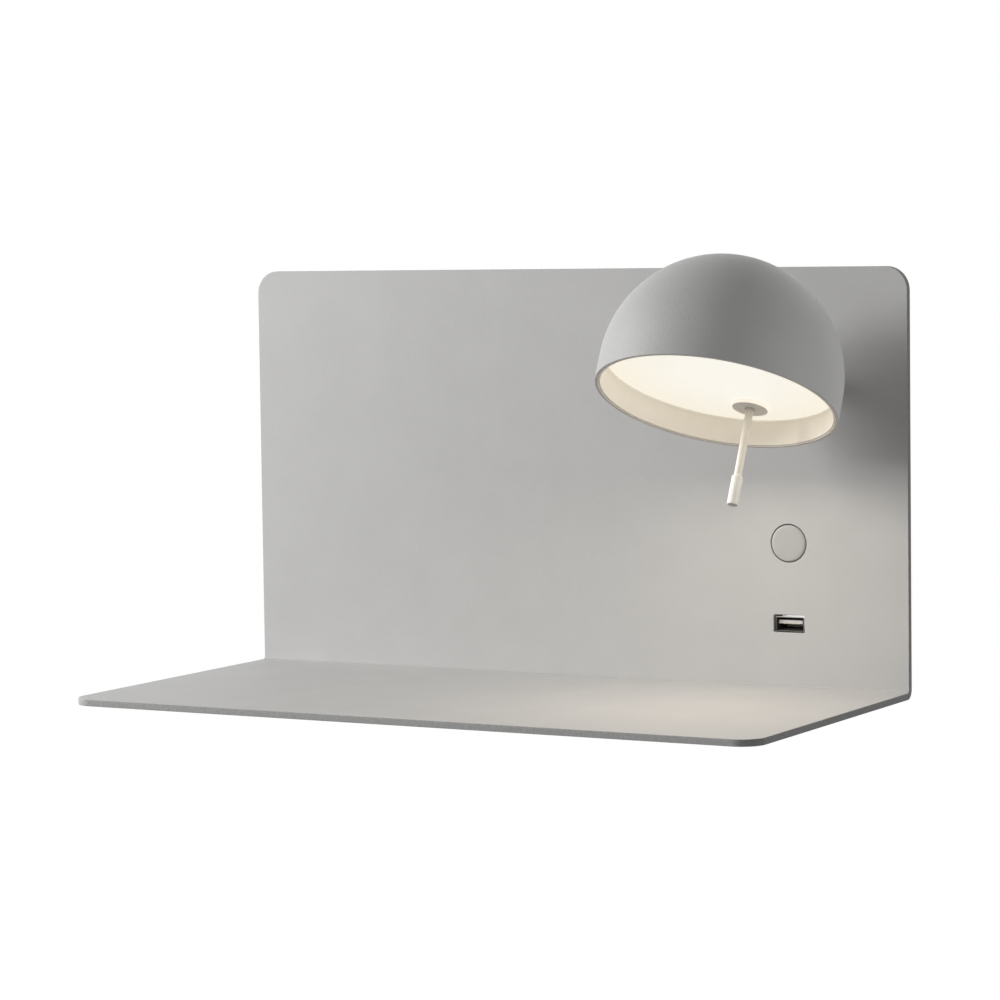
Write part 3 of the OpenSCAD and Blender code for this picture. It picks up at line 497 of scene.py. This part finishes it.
def second_finishes():
    """Finishes of faces that differ from the rest of their node."""
    return {
        "sheet_edge": edge_coat("sheet_edge", shade_of(COAT, -0.29)),
        # Painted shade: the inside of the panel's fold is the coat made darker.
        "fold_painted_shade": powder_coat("fold_painted_shade", shade_of(COAT, -0.15)),
        "rim_edge": edge_coat("rim_edge", RIM),
        "shade_inside": plastic("shade_inside", LINER, 0.5),
        # Painted glow: light painted into the liner's ledge beside the diffuser.
        "liner_ledge_painted_glow": painted_glow_finish("liner_ledge_painted_glow", LINER, (1.0, 0.92, 0.76), 0.2),
        # Painted glow: light painted into the cap's side.
        "cap_side_painted_glow": painted_glow_finish("cap_side_painted_glow", CAP, (1.0, 0.95, 0.84), 0.3),
        "grip_end": plastic("grip_end", (0.47, 0.45, 0.42), 0.6),
        "rod_painted_shade": smooth_coat("rod_painted_shade", ROD_IVORY_PAINTED_SHADE),
        # Painted shade: the socket's shell is black inside.
        "shell_inside_painted_shade": plastic("shell_inside_painted_shade", (0.012, 0.012, 0.012), 0.6),
        "shell_lip_painted_light": painted_lip_light("shell_lip_painted_light", middle("usb_shell").z + LIP_HEIGHT, LIP_BLUR),
    }


def dress_nodes():
    """Gives every node its finish and returns what is shown for each."""
    materials = finishes()
    shown = {}
    for part in frame["record"]["subparts"]:
        node, slot = part["node"], part["material_slot"]
        obj = frame["nodes"][node]
        if node in SOFT_EDGES:
            obj = softened(node, SOFT_EDGES[node] * MM)
        elif node == "head_lead":
            obj = bent_lead()
        paint(obj, materials[slot])
        shown[node] = obj
    return shown


def dress_edges(panel, materials):
    """The folded sheet's cut edges, but not the hole round the button, and painted shade on the inside
    of the fold.
    """
    low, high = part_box("shelf_panel")
    upright_front = high.y - SHEET
    shelf_top = low.z + SHEET
    button = middle("button_cap")

    def is_edge(spot, normal):
        if (spot.xz - button.xz).length < BUTTON_ROOM:
            return False
        if abs(normal.x) > MAINLY:
            return True
        if spot.z > shelf_top + FOLD:
            return abs(normal.y) < MAINLY
        return spot.y < upright_front - FOLD and abs(normal.z) < MAINLY

    def is_fold(spot, normal):
        near = spot.z < shelf_top + FOLD and spot.y > upright_front - FOLD
        return near and normal.y < -SLANTED and normal.z > SLANTED

    paint_faces(panel, materials["sheet_edge"], is_edge)
    paint_faces(panel, materials["fold_painted_shade"], is_fold)


def dress_shade(shown, materials):
    """The shade is white inside, with a plain cut edge. Its liner has a painted glow where it holds the
    diffuser.
    """
    outwards = shade_direction()
    centre = middle("diffuser")

    def ahead(spot):
        return (spot - centre).dot(outwards)

    def is_inside(spot, normal):
        away = spot - centre - ahead(spot) * outwards
        return away.normalized().dot(normal) < -LEANING

    def is_rim(spot, normal):
        return normal.dot(outwards) > FACING and ahead(spot) > RIM_START

    def is_ledge(spot, normal):
        return ahead(spot) < LEDGE_END and is_inside(spot, normal)

    paint_faces(shown["shade_shell"], materials["shade_inside"], is_inside)
    paint_faces(shown["shade_shell"], materials["rim_edge"], is_rim)
    paint_faces(shown["shade_liner"], materials["liner_ledge_painted_glow"], is_ledge)


def dress_stick(shown, materials):
    """The cap's side has a painted glow, and the grip's end face is darker."""
    outwards = shade_direction()

    def is_side(spot, normal):
        return abs(normal.dot(outwards)) < ACROSS

    def is_end(spot, normal):
        return normal.dot(outwards) > FACING

    # Painted shade: the rod takes a darker copy of the stick's ivory.
    paint(shown["stick_rod"], materials["rod_painted_shade"])
    paint_faces(shown["stick_cap"], materials["cap_side_painted_glow"], is_side)
    paint_faces(shown["stick_grip"], materials["grip_end"], is_end)


def dress_socket(shell, materials):
    """The shell is painted black inside, as painted shade, and its lip has a painted highlight above the
    tongue and painted shade below it.
    """
    low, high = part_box("usb_shell")
    centre = (low + high) / 2

    def is_lip(spot, normal):
        return spot.y < low.y + LIP_DEPTH

    def is_inside(spot, normal):
        away = spot - centre
        inwards = away.x * normal.x + away.z * normal.z < 0
        return inwards and not is_lip(spot, normal)

    paint_faces(shell, materials["shell_inside_painted_shade"], is_inside)
    paint_faces(shell, materials["shell_lip_painted_light"], is_lip)


# ------------------------------------------------------------------ camera, light and floor

TARGET = Vector((0.0, -0.11, 0.01))

# Name, degrees to the right, degrees up, size and power in watts of each studio light
LIGHTS = [
    ("key", -65, 17, 0.6, 34.4),
    ("right", 90, 5, 0.8, 8.2),
    ("back", 180, 25, 1.6, 6.0),
]
LIGHT_DISTANCE = 1.6
LIGHT_COLOUR = (1.0, 1.0, 1.0)
AMBIENT = 0.26
LED_COLOUR = (1.0, 0.87, 0.72)
# Name, distance from the middle of the diffuser to the disc of light, power in watts
GLOWS = [("glow_in_shade", 1.3 * MM, 0.009), ("glow_below_shade", 16 * MM, 0.12)]
# The discs' share of the diffuser's width
GLOW_WIDTH = 0.96

# The photograph's camera, solved from the panel's corners: place, degrees and millimetres
CAMERA_PLACE = (0.7927, -1.5344, 0.1186)
CAMERA_TURN = 28.874
CAMERA_DOWN = 4.195
CAMERA_ROLL = -0.773
CAMERA_LENS = 127.92
CAMERA_SENSOR = 36.0

# The floor: its height, its reach each way, its colour to the light that it sends back to the lamp,
# and what is seen of it, a faint share of the light that meets it and an even white
FLOOR_HEIGHT = -1.2
FLOOR_REACH = 8.0
FLOOR_COLOUR = (0.8, 0.8, 0.8, 1)
FLOOR_SHARE = (0.1, 0.1, 0.1, 1)
FLOOR_WHITE = 0.985


def direction(turn, rise):
    """The direction turn degrees to the right of straight in front of the lamp, and rise degrees up."""
    turn, rise = math.radians(turn), math.radians(rise)
    return Vector((math.sin(turn) * math.cos(rise), -math.cos(turn) * math.cos(rise), math.sin(rise)))


def add_light(name, position, target, size, power, colour, shape="SQUARE"):
    """An area light that looks from position to target, and doesn't show itself."""
    data = bpy.data.lights.new(name, "AREA")
    data.shape = shape
    data.size = size
    data.energy = power
    data.color = colour
    obj = bpy.data.objects.new(name, data)
    obj.location = position
    obj.rotation_euler = (position - target).to_track_quat("Z", "Y").to_euler()
    obj.visible_camera = False
    bpy.context.scene.collection.objects.link(obj)
    return obj


def keep_off(light, objects):
    """Keeps a light off some objects."""
    group = bpy.data.collections.new(light.name + "_keeps_off")
    for obj in objects:
        group.objects.link(obj)
    light.light_linking.receiver_collection = group
    for entry in group.collection_objects:
        entry.light_linking.link_state = "EXCLUDE"


def add_lights(shown):
    """The studio's lights. The one on the right is for the head, and stays off the panel."""
    for name, turn, rise, size, power in LIGHTS:
        position = TARGET + direction(turn, rise) * LIGHT_DISTANCE
        light = add_light(name, position, TARGET, size, power, LIGHT_COLOUR)
        if name == "right":
            keep_off(light, [shown["shelf_panel"]])


def add_glows(shown):
    """The LEDs' light in the shade and on the panel: discs that face outwards and move with the head.

    The stick stands in the light of the disc in the shade alone.
    """
    low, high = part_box("diffuser")
    outwards = shade_direction()
    size = (high.x - low.x) * GLOW_WIDTH
    for name, distance, power in GLOWS:
        spot = middle("diffuser") + outwards * distance
        glow = add_light(name, spot, spot + outwards, size, power, LED_COLOUR, "DISK")
        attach(glow, "head")
        if name == "glow_below_shade":
            keep_off(glow, [shown["stick_rod"], shown["stick_grip"]])


def add_camera():
    """The photograph's camera."""
    data = bpy.data.cameras.new("camera")
    data.sensor_fit = "HORIZONTAL"
    data.sensor_width = CAMERA_SENSOR
    data.lens = CAMERA_LENS
    camera = bpy.data.objects.new("camera", data)
    rotation = (
        Matrix.Rotation(math.radians(CAMERA_TURN), 4, "Z")
        @ Matrix.Rotation(math.radians(90 - CAMERA_DOWN), 4, "X")
        @ Matrix.Rotation(math.radians(CAMERA_ROLL), 4, "Z")
    )
    camera.matrix_world = Matrix.Translation(CAMERA_PLACE) @ rotation
    bpy.context.scene.collection.objects.link(camera)
    bpy.context.scene.camera = camera


def seen_plainly(tree):
    """1 where a camera, glossy or transmission ray meets the surface, otherwise 0."""
    path = tree.nodes.new("ShaderNodeLightPath")
    rays = ["Is Camera Ray", "Is Glossy Ray", "Is Transmission Ray"]
    total = path.outputs[rays[0]]
    for ray in rays[1:]:
        either = tree.nodes.new("ShaderNodeMath")
        either.operation = "MAXIMUM"
        tree.links.new(total, either.inputs[0])
        tree.links.new(path.outputs[ray], either.inputs[1])
        total = either.outputs["Value"]
    return total


def light_world():
    """Soft grey light all round, with a white background."""
    world = bpy.data.worlds.new("studio")
    bpy.context.scene.world = world
    world.use_nodes = True
    tree = world.node_tree
    tree.nodes.clear()
    ambient = tree.nodes.new("ShaderNodeBackground")
    ambient.inputs["Strength"].default_value = AMBIENT
    white = tree.nodes.new("ShaderNodeBackground")
    white.inputs["Color"].default_value = (1, 1, 1, 1)
    mix = tree.nodes.new("ShaderNodeMixShader")
    output = tree.nodes.new("ShaderNodeOutputWorld")
    tree.links.new(seen_plainly(tree), mix.inputs["Fac"])
    tree.links.new(ambient.outputs["Background"], mix.inputs[1])
    tree.links.new(white.outputs["Background"], mix.inputs[2])
    tree.links.new(mix.outputs["Shader"], output.inputs["Surface"])


def floor_material():
    """Pale and matt. It is seen almost white, and keeps what shadow reaches it."""
    material = bpy.data.materials.new("floor")
    material.use_nodes = True
    tree = material.node_tree
    tree.nodes.clear()
    matt = tree.nodes.new("ShaderNodeBsdfDiffuse")
    matt.inputs["Color"].default_value = FLOOR_COLOUR
    faint = tree.nodes.new("ShaderNodeBsdfDiffuse")
    faint.inputs["Color"].default_value = FLOOR_SHARE
    pale = tree.nodes.new("ShaderNodeEmission")
    pale.inputs["Strength"].default_value = FLOOR_WHITE
    seen = tree.nodes.new("ShaderNodeAddShader")
    mix = tree.nodes.new("ShaderNodeMixShader")
    output = tree.nodes.new("ShaderNodeOutputMaterial")
    tree.links.new(faint.outputs["BSDF"], seen.inputs[0])
    tree.links.new(pale.outputs["Emission"], seen.inputs[1])
    tree.links.new(seen_plainly(tree), mix.inputs["Fac"])
    tree.links.new(matt.outputs["BSDF"], mix.inputs[1])
    tree.links.new(seen.outputs["Shader"], mix.inputs[2])
    tree.links.new(mix.outputs["Shader"], output.inputs["Surface"])
    return material


def add_floor():
    """A plain square under and behind the lamp."""
    corners = [
        (-FLOOR_REACH, -FLOOR_REACH, FLOOR_HEIGHT),
        (FLOOR_REACH, -FLOOR_REACH, FLOOR_HEIGHT),
        (FLOOR_REACH, FLOOR_REACH, FLOOR_HEIGHT),
        (-FLOOR_REACH, FLOOR_REACH, FLOOR_HEIGHT),
    ]
    mesh = bpy.data.meshes.new("floor")
    mesh.from_pydata(corners, [], [(0, 1, 2, 3)])
    mesh.materials.append(floor_material())
    floor = bpy.data.objects.new("floor", mesh)
    bpy.context.scene.collection.objects.link(floor)


def main():
    """The camera, the dressed lamp, its light and the floor, in that order."""
    add_camera()
    shown = dress_nodes()
    others = second_finishes()
    dress_edges(shown["shelf_panel"], others)
    dress_shade(shown, others)
    dress_stick(shown, others)
    dress_socket(shown["usb_shell"], others)
    add_lights(shown)
    add_glows(shown)
    light_world()
    add_floor()
    bpy.context.scene.view_settings.view_transform = "Standard"


main()
